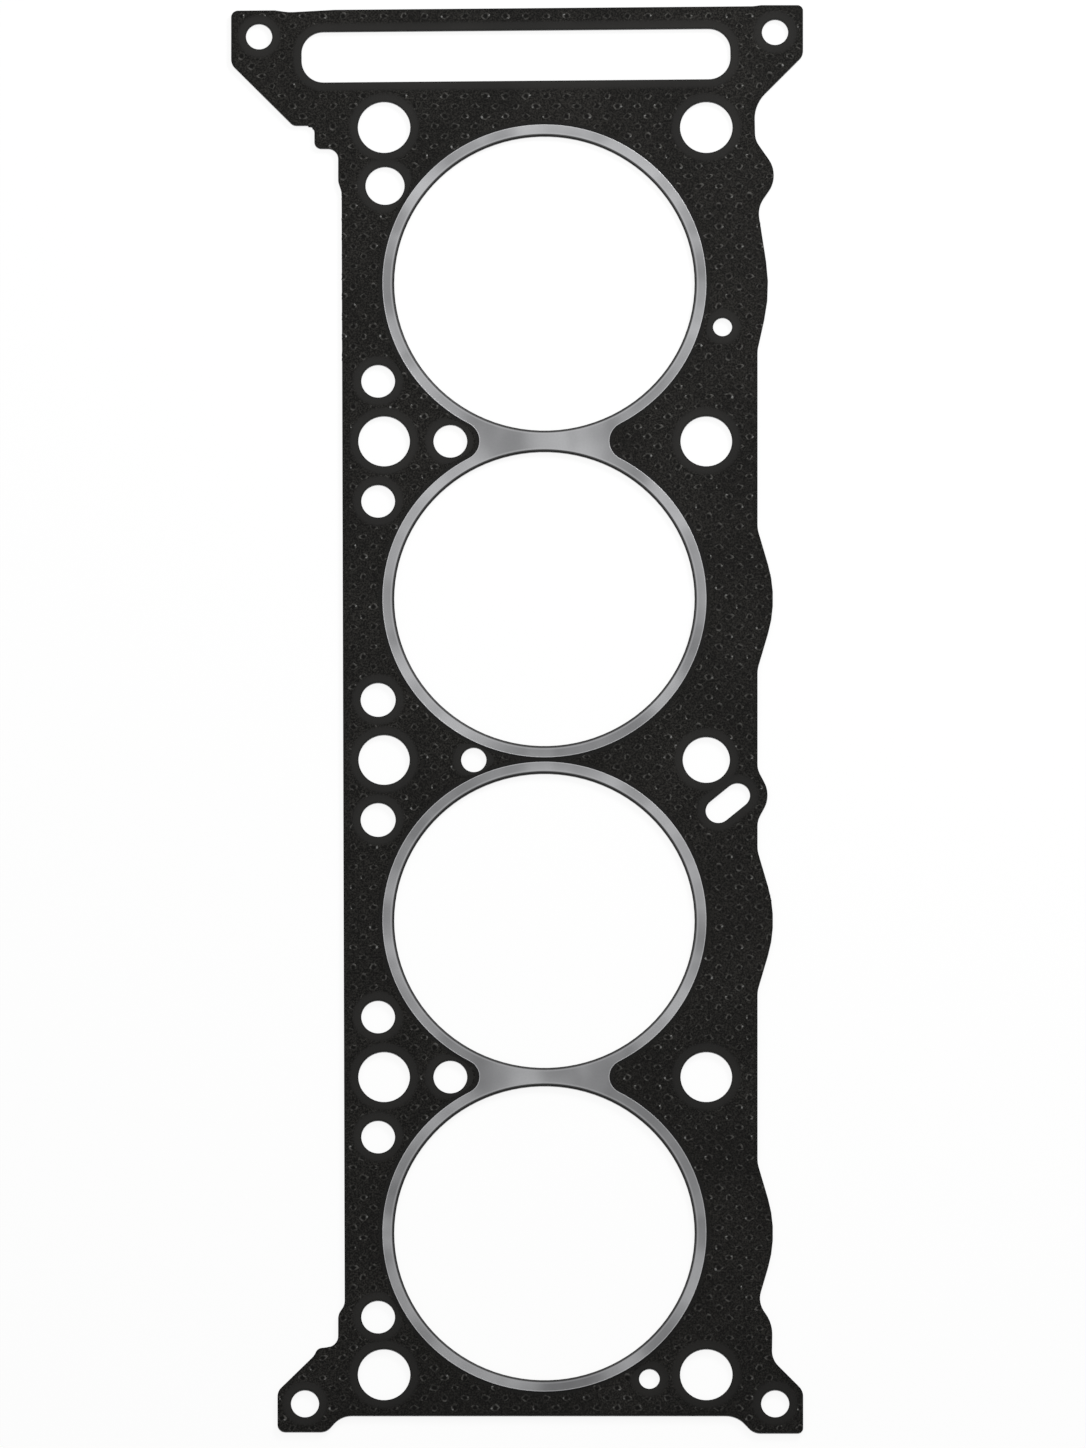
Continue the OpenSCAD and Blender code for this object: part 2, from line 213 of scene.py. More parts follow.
def outwardNormals(loop):
    # level unit vectors that point to the right of the way round
    run = np.roll(loop, -1, axis=0) - loop
    side = np.stack([run[:, 1], -run[:, 0]], 1)
    side /= np.maximum(np.linalg.norm(side, axis=1, keepdims=True), 1e-12)
    both = side + np.roll(side, 1, axis=0)
    return both / np.maximum(np.linalg.norm(both, axis=1, keepdims=True), 1e-12)


def reachOf(starts, normals, width, others):
    # how far a strip may run before it is nearer to another outline than to its own
    low, high = np.zeros(len(starts)), np.full(len(starts), width)
    far = distanceTo(starts + normals * width, others) >= width
    for _ in range(coating["searchSteps"]):
        middle = (low + high) / 2
        free = distanceTo(starts + normals * middle[:, None], others) >= middle
        low, high = np.where(free, middle, low), np.where(free, high, middle)
    return np.where(far, width, low)


def coatingStrips(name, base, side, material, flanges):
    points, faces = [], []
    rim, edge, sheen = [], [], []
    fade = coatingFade

    def addStrip(loop, inward, width, others, kind):
        normals = outwardNormals(loop) * (-1 if inward else 1)
        reach = reachOf(loop, normals, width, others)
        stations = coating["stations"]
        if kind == "flange":
            stations = (-coating["flangeOverlap"],) + stations[1:]
        first = len(points)
        count = len(loop)
        for s in stations:
            t = reach * s
            share = t / width
            if kind == "rim":
                crown = smooth(*fade["rimRise"], share) * (1 - fade["rimLeast"])
                rise = coating["rimHeight"] * (crown * (1 - smooth(*fade["rimFall"], share))
                                               + fade["rimLeast"])
                # painted shade: darker at the opening's edge, and across a rim squeezed in by a
                # neighbour
                squeezed = fade["rimSqueezed"] * (1 - reach / width)
                rimNow = 1 - smooth(*fade["rimSmooth"], share)
                edgeNow = np.maximum(1 - smooth(*fade["rimDark"], share), squeezed)
            elif kind == "flange":
                rise = coating["lowHeight"] * (1 - fade["lowSlope"] * np.clip(share, 0, 1))
                rimNow = fade["besideSmooth"] * (1 - smooth(*fade["flangeSmooth"], share))
                # painted shadow beside the flange, partly the pressed coat's own darker tone
                edgeNow = fade["flangeDarkest"] * (1 - smooth(*fade["flangeDark"], share))
            else:
                rise = coating["lowHeight"] * (1 - fade["lowSlope"] * share)
                rimNow = fade["besideSmooth"] * (1 - share)
                # painted shade along the sheet's outer edge
                edgeNow = fade["edgeDarkest"] * (1 - smooth(*fade["edgeDark"], share))
            spot = loop + normals * t[:, None]
            points.extend(np.column_stack([spot, base + side * rise]))
            rim.extend(rimNow)
            edge.extend(edgeNow)
            # a painted sheen, lightest near the opening
            shine = 1 - smooth(*fade["rimSheen"], share) if kind == "rim" else np.zeros(count)
            sheen.extend(shine)
        # both long sides go down into the facing, and a floor closes the strip
        for s in (stations[0], stations[-1]):
            spot = loop + normals * (reach * s)[:, None]
            points.extend(np.column_stack([spot, np.full(count, base - side * coating["sunk"])]))
            rim.extend(np.zeros(count))
            edge.extend(np.ones(count))
            sheen.extend(np.zeros(count))
        rows = len(stations)
        lower = rows * count
        flip = (side < 0) != inward
        for i in range(count):
            j = (i + 1) % count
            quads = [(r * count + i, r * count + j, (r + 1) * count + j, (r + 1) * count + i)
                     for r in range(rows - 1)]
            quads.append((lower + i, lower + j, j, i))
            quads.append(((rows - 1) * count + i, (rows - 1) * count + j,
                          lower + count + j, lower + count + i))
            quads.append((lower + count + i, lower + count + j, lower + j, lower + i))
            for q in quads:
                q = [first + k for k in q]
                faces.append(q if flip else q[::-1])

    for loop in portCuts:
        others = [o for o in portCuts if o is not loop] + flanges
        addStrip(loop, True, coating["rimWidth"], others, "rim")
    for loop in flanges:
        others = [o for o in flanges if o is not loop] + portCuts
        addStrip(loop, False, coating["flangeBandWidth"], others, "flange")
    addStrip(sheetEdge, True, coating["edgeWidth"], portCuts, "edge")
    return makePiece(name, points, faces, material,
                     (("rimShare", rim), ("edgeShade", edge), ("rimSheen", sheen)))


# The marks of the core's tangs: a pit painted dark (painted shade) with broken raised petals round
# it, painted lighter as a highlight, where the steel shows bright at some tips. A tree strews the
# variants on the grid of the core's punched holes.
tangMark = {
    "variants": 18,
    "around": 12,
    "radius": 1.5 * mm,
    "stretch": 1.18,
    "crestHeight": 0.08 * mm,
    "footSunk": 0.02 * mm,
    "petals": (2, 4),  # fewest and most
    "span": (1, 2),  # steps of the way round that a petal or a gap takes up
    "sidePetals": 0.6,  # how often a petal stands at the left or right tip
    "petalLevel": (0.5, 1.0),
    "gaps": (1, 3),
    "ringTone": 0.22,
    "gapTone": 0.02,
    "steelChance": 0.2,
    "steelLevel": (0.6, 1.0),
    "widerSteel": 0.15,
    "besideSteel": 0.5,
    "turnJitter": 0.35,
    "smallest": 0.84,
    "largest": 1.06,
    "faintest": 0.6,
    "shapeSeed": 400,
    "upperSeed": 5,
    "lowerSeed": 23,
    # how near to an opening, a flange or the edge a mark's centre may lie
    "hiddenUnderRim": 2.35 * mm,
    "besideFlange": 1.15 * mm,
    "besideEdge": 0.3 * mm,
    # where a mark is pressed flat, and where it has its full height again
    "flatNearPort": (2.5 * mm, 3.1 * mm),
    "flatNearFlange": (0.1 * mm, 0.9 * mm),
    "flatNearEdge": (0.05 * mm, 0.3 * mm),
    "crampedWithin": 5 * mm,
    "edgeClearance": 0.03 * mm,
    "edgePull": 1.15,
}
# share of the radius, share of the crest's height, painted pit shade, share of the petal's
# painted highlight
markRings = (
    (0.35, 0.05, 1.0, 0.0),
    (0.56, 0.75, 0.25, 0.9),
    (0.76, 1.0, 0.0, 1.0),
    (1.0, 0.0, 0.0, 0.0),
)
# an outline between a circle and a diamond, how far it strays from that, and the lowest heights
# as shares of the crest's
markShape = {"round": 0.45, "wobble": 0.13, "oval": 0.16, "leastLift": 0.2, "pitFloor": 0.02}


def tangMarkVariant(index, material):
    rng = random.Random(tangMark["shapeSeed"] + index)
    around = tangMark["around"]
    radius, crest = tangMark["radius"], tangMark["crestHeight"]
    level, steel = [tangMark["ringTone"]] * around, [0.0] * around
    for _ in range(rng.randint(*tangMark["gaps"])):
        first = rng.randrange(around)
        for k in range(first, first + rng.randint(*tangMark["span"])):
            level[k % around] = tangMark["gapTone"]
    # raised petals, which stand higher and are painted lighter as a highlight
    for _ in range(rng.randint(*tangMark["petals"])):
        first, tone = rng.randrange(around), rng.uniform(*tangMark["petalLevel"])
        if rng.random() < tangMark["sidePetals"]:
            first = rng.choice((0, around // 2)) + rng.randint(-1, 1)
        for k in range(first, first + rng.randint(*tangMark["span"])):
            level[k % around] = max(level[k % around], tone)
    for tip in (0, around // 2):
        if rng.random() < tangMark["steelChance"]:
            k = (tip + rng.randint(-1, 1)) % around
            level[k], steel[k] = 1.0, rng.uniform(*tangMark["steelLevel"])
            if rng.random() < tangMark["widerSteel"]:
                steel[(k + 1) % around] = tangMark["besideSteel"]
    shape = markShape
    wobble = [rng.uniform(-shape["wobble"], shape["wobble"]) for _ in range(around)]
    oval, lean = rng.uniform(0.0, shape["oval"]), rng.uniform(0.0, math.pi)
    points, faces = [(0, 0, shape["pitFloor"] * crest)], []
    tips, pit, petal = [0], [1], [0]
    for ring, (share, lift, dark, shown) in enumerate(markRings):
        for k in range(around):
            a = 2 * math.pi * k / around
            diamond = 1 / (abs(math.cos(a)) + abs(math.sin(a)))
            outline = shape["round"] + (1 - shape["round"]) * diamond
            outline += wobble[k] + oval * math.cos(2 * (a - lean))
            r = radius * share * outline
            raised = shape["leastLift"] + (1 - shape["leastLift"]) * level[k]
            last = ring == len(markRings) - 1
            z = -tangMark["footSunk"] if last else crest * lift * raised
            points.append((tangMark["stretch"] * r * math.cos(a), r * math.sin(a), z))
            tips.append(steel[k] * shown)
            pit.append(dark)
            petal.append(level[k] * shown)
    for k in range(around):
        j = (k + 1) % around
        faces.append((0, 1 + k, 1 + j))
        for ring in range(len(markRings) - 1):
            a, b = 1 + ring * around, 1 + (ring + 1) * around
            faces.append((a + k, b + k, b + j, a + j))
    foot = 1 + (len(markRings) - 1) * around
    faces.append([foot + k for k in reversed(range(around))])
    return makePiece(f"tang_mark_{index:02d}", points, faces, material,
                     (("tipSteel", tips), ("pitShade", pit), ("petal", petal)))


def tangGrid():
    # centres of the core's punched holes, and the places of the same grid where it has none
    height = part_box("tanged_core")[1].z
    largestHole = 4 * mm
    found = []
    for loop in flatLoops("tanged_core", height, True):
        if np.ptp(loop, axis=0).max() < largestHole and len(loop) == 4:
            found.append(loop.mean(0))
    found = np.array(found)
    # half a step of the centred lattice each way
    halfX = np.min(np.diff(np.unique(np.round(found[:, 0], 5))))
    halfY = np.min(np.diff(np.unique(np.round(found[:, 1], 5))))
    origin = found[0]
    low = (sheetEdge.min(0) - origin) / (halfX, halfY)
    high = (sheetEdge.max(0) - origin) / (halfX, halfY)
    return np.array([origin + (i * halfX, j * halfY)
                     for i in range(int(low[0]) - 1, int(high[0]) + 2)
                     for j in range(int(low[1]) - 1, int(high[1]) + 2)
                     if (i + j) % 2 == 0])


def insideLoop(points, loop):
    # even-odd test
    a, b = segments([loop])
    hits = np.zeros(len(points), int)
    for k, p in enumerate(points):
        crossing = (a[:, 1] > p[1]) != (b[:, 1] > p[1])
        x = a[crossing, 0] + (p[1] - a[crossing, 1]) * (b[crossing, 0] - a[crossing, 0]) \
            / (b[crossing, 1] - a[crossing, 1])
        hits[k] = np.sum(x > p[0])
    return hits % 2 == 1


def addSockets(tree, inputs):
    # named inputs of a geometry tree and its one output
    for label, kind in inputs:
        tree.interface.new_socket(label, in_out="INPUT", socket_type="NodeSocket" + kind)
    tree.interface.new_socket("Geometry", in_out="OUTPUT", socket_type="NodeSocketGeometry")


def strewTree():
    tree = bpy.data.node_groups.new("strewTangMarks", "GeometryNodeTree")
    addSockets(tree, (("Geometry", "Geometry"), ("Variants", "Collection"),
                      ("Variant Count", "Int"), ("Turn Over", "Float"), ("Turn Jitter", "Float"),
                      ("Smallest", "Float"), ("Largest", "Float"), ("Faintest", "Float"),
                      ("Seed", "Int"), ("Finish", "Material")))
    new, link = tree.nodes.new, tree.links.new
    given, result = new("NodeGroupInput"), new("NodeGroupOutput")

    def drawn(kind, low, high, shift):
        # a random value; the shift added to the seed keeps the draws apart
        node = new("FunctionNodeRandomValue")
        node.data_type = kind
        shown = [s for s in node.inputs if s.enabled]
        for value, socket in ((low, shown[0]), (high, shown[1])):
            if isinstance(value, (int, float)):
                socket.default_value = value
            else:
                link(value, socket)
        seed = new("ShaderNodeMath")
        link(given.outputs["Seed"], seed.inputs[0])
        seed.inputs[1].default_value = shift
        link(seed.outputs[0], [s for s in node.inputs if s.name == "Seed"][0])
        return [s for s in node.outputs if s.enabled][0]

    variants = new("GeometryNodeCollectionInfo")
    variants.inputs["Separate Children"].default_value = True
    variants.inputs["Reset Children"].default_value = True
    link(given.outputs["Variants"], variants.inputs["Collection"])
    last = new("ShaderNodeMath")
    last.operation = "SUBTRACT"
    link(given.outputs["Variant Count"], last.inputs[0])
    last.inputs[1].default_value = 1
    place = new("GeometryNodeInstanceOnPoints")
    place.inputs["Pick Instance"].default_value = True
    link(given.outputs["Geometry"], place.inputs["Points"])
    link(variants.outputs[0], place.inputs["Instance"])
    link(drawn("INT", 0, last.outputs[0], 1), place.inputs["Instance Index"])
    halfTurn = new("ShaderNodeMath")
    halfTurn.operation = "MULTIPLY"
    link(drawn("INT", 0, 1, 2), halfTurn.inputs[0])
    halfTurn.inputs[1].default_value = math.pi
    negative = new("ShaderNodeMath")
    negative.operation = "MULTIPLY"
    link(given.outputs["Turn Jitter"], negative.inputs[0])
    negative.inputs[1].default_value = -1
    turn = new("ShaderNodeMath")
    link(halfTurn.outputs[0], turn.inputs[0])
    link(drawn("FLOAT", negative.outputs[0], given.outputs["Turn Jitter"], 3), turn.inputs[1])
    angles = new("ShaderNodeCombineXYZ")
    link(given.outputs["Turn Over"], angles.inputs["X"])
    link(turn.outputs[0], angles.inputs["Z"])
    link(angles.outputs[0], place.inputs["Rotation"])
    scale = drawn("FLOAT", given.outputs["Smallest"], given.outputs["Largest"], 4)
    link(scale, place.inputs["Scale"])
    tone = new("GeometryNodeStoreNamedAttribute")
    tone.data_type = "FLOAT"
    tone.domain = "INSTANCE"
    tone.inputs["Name"].default_value = "markTone"
    link(place.outputs[0], tone.inputs["Geometry"])
    link(drawn("FLOAT", given.outputs["Faintest"], 1.0, 5),
         [s for s in tone.inputs if s.name == "Value" and s.enabled][0])
    real, finish = new("GeometryNodeRealizeInstances"), new("GeometryNodeSetMaterial")
    link(tone.outputs[0], real.inputs[0])
    link(real.outputs[0], finish.inputs["Geometry"])
    link(given.outputs["Finish"], finish.inputs["Material"])
    link(finish.outputs[0], result.inputs[0])
    return tree


def applyTree(piece, tree, values):
    # runs a tree on an object and keeps the result as a plain mesh
    change = piece.modifiers.new("made", "NODES")
    change.node_group = tree
    named = {s.name: s.identifier for s in tree.interface.items_tree if s.in_out == "INPUT"}
    for label, value in values.items():
        change[named[label]] = value
    bpy.context.view_layer.update()
    seen = piece.evaluated_get(bpy.context.evaluated_depsgraph_get())
    mesh = bpy.data.meshes.new_from_object(seen)
    name = piece.name
    bpy.data.objects.remove(piece)
    made = bpy.data.objects.new(name, mesh)
    mesh.name = name
    bpy.context.scene.collection.objects.link(made)
    return made


def tangMarks(name, base, over, seed, tree, variants, material, grid, flanges):
    keep = insideLoop(grid, sheetEdge)
    keep &= distanceTo(grid, [sheetEdge]) > tangMark["besideEdge"]
    for loop in openings + flanges:
        keep &= ~insideLoop(grid, loop)
    keep &= distanceTo(grid, portCuts) > tangMark["hiddenUnderRim"]
    keep &= distanceTo(grid, flanges) > tangMark["besideFlange"]
    places = grid[keep]
    mesh = bpy.data.meshes.new(name + "_places")
    mesh.from_pydata([(x, y, base) for x, y in places], [], [])
    seedPoints = bpy.data.objects.new(name, mesh)
    bpy.context.scene.collection.objects.link(seedPoints)
    marks = applyTree(seedPoints, tree, {
        "Variants": variants, "Variant Count": tangMark["variants"],
        "Turn Over": math.pi if over else 0.0, "Turn Jitter": tangMark["turnJitter"],
        "Smallest": tangMark["smallest"], "Largest": tangMark["largest"],
        "Faintest": tangMark["faintest"], "Seed": seed, "Finish": material,
    })
    # marks go flat where a rim, a flange or the outer edge covers or cuts them
    mesh = marks.data
    co = np.empty(len(mesh.vertices) * 3)
    mesh.vertices.foreach_get("co", co)
    co = co.reshape(-1, 3)
    nearest = KDTree(len(places))
    for k, (x, y) in enumerate(places):
        nearest.insert((x, y, 0), k)
    nearest.balance()
    cramped = distanceTo(places, portCuts + flanges + [sheetEdge]) < tangMark["crampedWithin"]
    owner = np.array([nearest.find((x, y, 0))[1] for x, y in co[:, :2]])
    which = np.nonzero(cramped[owner])[0]
    spot = co[which, :2]
    sunk, side = tangMark["footSunk"], -1 if over else 1
    room = smooth(*tangMark["flatNearPort"], distanceTo(spot, portCuts))
    room = np.minimum(room, smooth(*tangMark["flatNearFlange"], distanceTo(spot, flanges)))
    edgeGap = distanceTo(spot, [sheetEdge]) * np.where(insideLoop(spot, sheetEdge), 1, -1)
    room = np.minimum(room, smooth(*tangMark["flatNearEdge"], edgeGap))
    rise = (co[which, 2] - base) * side
    rise = np.where(rise > 0, (rise + sunk) * room - sunk, rise)
    co[which, 2] = base + rise * side
    # a mark that the outer edge cuts is drawn in until it ends just inside the edge
    clearance = tangMark["edgeClearance"]
    pull = np.where(edgeGap < clearance, clearance - edgeGap, 0)
    middle = places[owner[which]]
    away = spot - middle
    away /= np.maximum(np.linalg.norm(away, axis=1, keepdims=True), 1e-9)
    co[which, :2] = spot - away * pull[:, None] * tangMark["edgePull"]
    mesh.vertices.foreach_set("co", co.ravel())
    mesh.update()
    mesh.shade_smooth()
    print(f"  {name}: {len(places)} marks, {len(mesh.polygons)} faces")
    return marks


def shaderGroup(name, inputs, outputs):
    group = bpy.data.node_groups.new(name, "ShaderNodeTree")
    for label, kind, value in inputs:
        socket = group.interface.new_socket(label, in_out="INPUT", socket_type=kind)
        socket.default_value = value
    for label, kind in outputs:
        group.interface.new_socket(label, in_out="OUTPUT", socket_type=kind)
    return group, group.nodes.new("NodeGroupInput"), group.nodes.new("NodeGroupOutput")


def blendColour(tree, share, low, high):
    node = tree.nodes.new("ShaderNodeMix")
    node.data_type = "RGBA"
    sockets = [s for s in node.inputs if s.enabled]
    for value, socket in zip((share, low, high), sockets):
        if isinstance(value, (int, float)):
            socket.default_value = value
        elif isinstance(value, tuple):
            socket.default_value = (*value, 1)
        else:
            tree.links.new(value, socket)
    return [s for s in node.outputs if s.enabled][0]


def scaledColour(tree, colour, factor):
    node = tree.nodes.new("ShaderNodeVectorMath")
    node.operation = "SCALE"
    tree.links.new(colour, node.inputs[0])
    tree.links.new(factor, node.inputs["Scale"])
    return node.outputs[0]


def blendValue(tree, share, low, high):
    node = tree.nodes.new("ShaderNodeMix")
    for value, label in ((share, "Factor"), (low, "A"), (high, "B")):
        if isinstance(value, (int, float)):
            node.inputs[label].default_value = value
        else:
            tree.links.new(value, node.inputs[label])
    return node.outputs["Result"]


def math2(tree, operation, a, b=0.0, clamp=False):
    node = tree.nodes.new("ShaderNodeMath")
    node.operation = operation
    node.use_clamp = clamp
    for value, socket in zip((a, b), node.inputs):
        if isinstance(value, (int, float)):
            socket.default_value = value
        else:
            tree.links.new(value, socket)
    return node.outputs[0]


def ramp(tree, value, low, high, toLow=0.0, toHigh=1.0):
    node = tree.nodes.new("ShaderNodeMapRange")
    node.interpolation_type = "SMOOTHSTEP"
    bounds = (("From Min", low), ("From Max", high), ("To Min", toLow), ("To Max", toHigh))
    for label, number in bounds:
        if isinstance(number, (int, float)):
            node.inputs[label].default_value = number
        else:
            tree.links.new(number, node.inputs[label])
    tree.links.new(value, node.inputs["Value"])
    return node.outputs["Result"]


def noiseOn(tree, vector, scale, detail, rough):
    node = tree.nodes.new("ShaderNodeTexNoise")
    node.inputs["Scale"].default_value = scale
    node.inputs["Detail"].default_value = detail
    node.inputs["Roughness"].default_value = rough
    tree.links.new(vector, node.inputs["Vector"])
    return node.outputs["Fac"]


# Fibre and graphite composite: a dark ground with fine lighter specks and slow cloudy patches,
# and a smoother coat on the rims that shines a little more. The coat's tone lightens towards each
# opening, a painted sheen. The edge tone is painted shade along the edges and beside the flanges,
# the pit tone is painted shade in the tang marks' pits, and the petal tone is a painted highlight
# on their raised petals.
facingFinish = {
    "darkGround": (0.0024, 0.0022, 0.0018),
    "lightGround": (0.0285, 0.0270, 0.0243),
    # the coat's tone, lighter towards an opening: a painted sheen
    "coatOuter": (0.0068, 0.0062, 0.0052),
    "coatInner": (0.0105, 0.0098, 0.0085),
    # painted shade along the edges and beside the flanges
    "edgeShadeTone": (0.0018, 0.0016, 0.0013),
    # painted shade in the pits
    "pitShadeTone": (0.0032, 0.0029, 0.0025),
    # painted highlight on the raised petals
    "petalHighlightTone": (0.105, 0.102, 0.096),
    "tipTone": (0.175, 0.175, 0.171),
    # scale, detail and roughness of each noise
    "speckNoise": (1750.0, 2.0, 0.62),
    "grainNoise": (4200.0, 1.0, 0.6),
    "cloudNoise": (36.0, 3.0, 0.5),
    "speckShare": 0.6,
    "speckSpread": (0.42, 0.63),
    "cloudDepth": (0.80, 1.20),
    "coatGrain": 0.12,
    "groundRough": 0.62,
    "roughSpread": 0.3,
    "coatRough": 0.36,
    "specular": 0.11,
    "coatWeight": 0.18,
    "bumpDepth": 0.03 * mm,
    "coatBump": 0.12,
    "steelShown": (0.2, 0.55),
    "steelMetal": 0.85,
    "steelSmoother": 0.2,
}
noiseMiddle = (0.3, 0.7)  # most of a noise texture's values lie in here


def facingGroundGroup():
    group, given, result = shaderGroup(
        "facingGround",
        [("Smooth", "NodeSocketFloat", 0.0), ("Edge", "NodeSocketFloat", 0.0),
         ("Sheen", "NodeSocketFloat", 0.0)],
        [("Color", "NodeSocketColor"), ("Roughness", "NodeSocketFloat"),
         ("Height", "NodeSocketFloat")])
    place = group.nodes.new("ShaderNodeTexCoord").outputs["Object"]
    f = facingFinish
    speck = noiseOn(group, place, *f["speckNoise"])
    grain = noiseOn(group, place, *f["grainNoise"])
    cloud = noiseOn(group, place, *f["cloudNoise"])
    mixed = math2(group, "ADD", math2(group, "MULTIPLY", speck, f["speckShare"]),
                  math2(group, "MULTIPLY", grain, 1 - f["speckShare"]))
    share = ramp(group, mixed, *f["speckSpread"])
    colour = blendColour(group, share, f["darkGround"], f["lightGround"])
    # the coat lighter towards an opening: a painted sheen
    coat = blendColour(group, given.outputs["Sheen"], f["coatOuter"], f["coatInner"])
    crumbs = ramp(group, grain, *noiseMiddle, 0.0, f["coatGrain"])
    coat = blendColour(group, crumbs, coat, f["lightGround"])
    colour = blendColour(group, given.outputs["Smooth"], colour, coat)
    colour = scaledColour(group, colour, ramp(group, cloud, *noiseMiddle, *f["cloudDepth"]))
    # painted shade along the edges and beside the flanges
    colour = blendColour(group, given.outputs["Edge"], colour, f["edgeShadeTone"])
    group.links.new(colour, result.inputs["Color"])
    spread = math2(group, "MULTIPLY", math2(group, "SUBTRACT", speck, 0.5), f["roughSpread"])
    rough = math2(group, "ADD", spread, f["groundRough"])
    group.links.new(blendValue(group, given.outputs["Smooth"], rough, f["coatRough"]),
                    result.inputs["Roughness"])
    calm = blendValue(group, given.outputs["Smooth"], 1.0, f["coatBump"])
    group.links.new(math2(group, "MULTIPLY", mixed, calm), result.inputs["Height"])
    return group


def attributeOf(tree, label):
    node = tree.nodes.new("ShaderNodeAttribute")
    node.attribute_name = label
    return node.outputs["Fac"]


def newMaterial(name):
    material = bpy.data.materials.new(name)
    material.use_nodes = True
    return material, material.node_tree, material.node_tree.nodes["Principled BSDF"]


def groupIn(tree, group):
    node = tree.nodes.new("ShaderNodeGroup")
    node.node_tree = group
    return node


def bumpFrom(tree, height, depth, strength=1.0):
    node = tree.nodes.new("ShaderNodeBump")
    node.inputs["Distance"].default_value = depth
    node.inputs["Strength"].default_value = strength
    tree.links.new(height, node.inputs["Height"])
    return node.outputs["Normal"]


def facingMaterial(ground):
    f = facingFinish
    material, tree, surface = newMaterial("facing_composite")
    base = groupIn(tree, ground)
    rim = attributeOf(tree, "rimShare")
    tree.links.new(rim, base.inputs["Smooth"])
    tree.links.new(attributeOf(tree, "edgeShade"), base.inputs["Edge"])
    tree.links.new(attributeOf(tree, "rimSheen"), base.inputs["Sheen"])
    tree.links.new(base.outputs["Color"], surface.inputs["Base Color"])
    tree.links.new(base.outputs["Roughness"], surface.inputs["Roughness"])
    surface.inputs["Specular IOR Level"].default_value = f["specular"]
    tree.links.new(math2(tree, "MULTIPLY", rim, f["coatWeight"]), surface.inputs["Coat Weight"])
    surface.inputs["Coat Roughness"].default_value = f["coatRough"]
    bump = bumpFrom(tree, base.outputs["Height"], f["bumpDepth"])
    tree.links.new(bump, surface.inputs["Normal"])
    return material


def markMaterial(ground):
    f = facingFinish
    material, tree, surface = newMaterial("tang_mark")
    base = groupIn(tree, ground)
    tone = attributeOf(tree, "markTone")
    pit = attributeOf(tree, "pitShade")
    tip = math2(tree, "MULTIPLY", attributeOf(tree, "tipSteel"), tone)
    petal = math2(tree, "MULTIPLY", attributeOf(tree, "petal"), tone, clamp=True)
    # painted highlight on the raised petals
    colour = blendColour(tree, petal, base.outputs["Color"], f["petalHighlightTone"])
    # painted shade in the pit
    colour = blendColour(tree, pit, colour, f["pitShadeTone"])
    shown = ramp(tree, tip, *f["steelShown"])
    colour = blendColour(tree, shown, colour, f["tipTone"])
    tree.links.new(colour, surface.inputs["Base Color"])
    tree.links.new(math2(tree, "MULTIPLY", shown, f["steelMetal"]), surface.inputs["Metallic"])
    smoother = math2(tree, "MULTIPLY", shown, f["steelSmoother"])
    tree.links.new(math2(tree, "SUBTRACT", base.outputs["Roughness"], smoother),
                   surface.inputs["Roughness"])
    surface.inputs["Specular IOR Level"].default_value = f["specular"]
    bump = bumpFrom(tree, base.outputs["Height"], f["bumpDepth"])
    tree.links.new(bump, surface.inputs["Normal"])
    return material


# Rolled stainless strip: a soft cloudy sheen painted into its colour, a lighter line where the lip
# starts that is a painted highlight, and a lip painted darker and a bore wall painted dark, both
# painted shade. The radii are in millimetres from a bore's axis.
ringFinish = {
    "base": (0.358, 0.360, 0.368),
    "dull": (0.208, 0.209, 0.214),
    # painted highlight where the lip starts
    "lipHighlight": (0.40, 0.402, 0.41),
    # a lighter steel for the flange edges: a painted highlight
    "edgeHighlightBase": (0.50, 0.50, 0.51),
    "edgeHighlightDim": (0.42, 0.42, 0.43),
    # painted shade on the rolled lip and the bore wall
    "lipShadeTone": (0.036, 0.0355, 0.035),
    "wallShadeTone": (0.010, 0.0095, 0.0095),
    "rough": 0.36,
    "patchScale": 30.0,
    "sectorScale": 4.6,
    "sectorChange": 6.0,
    "sectorDepth": 0.11,
    "sectorDetail": 1.0,
    "sectorSpread": (0.34, 0.66),
    "patchDetail": 1.5,
    "patchSpread": (0.36, 0.64),
    "grainNoise": (1500.0, 2.0, 0.5),
    "grainDepth": (0.98, 1.02),
    "roughSpread": 0.06,
    "bumpDepth": 0.002 * mm,
    "bumpStrength": 0.5,
    "wallTo": (48.20, 48.36),
    "lipTo": (48.68, 48.92),
    "lipHighlightTo": (49.15, 49.45),
    # how strongly each band's tone covers the sheet's
    "wallShare": 1.0,
    "lipShare": 0.92,
    "lipHighlightShare": 0.4,
}


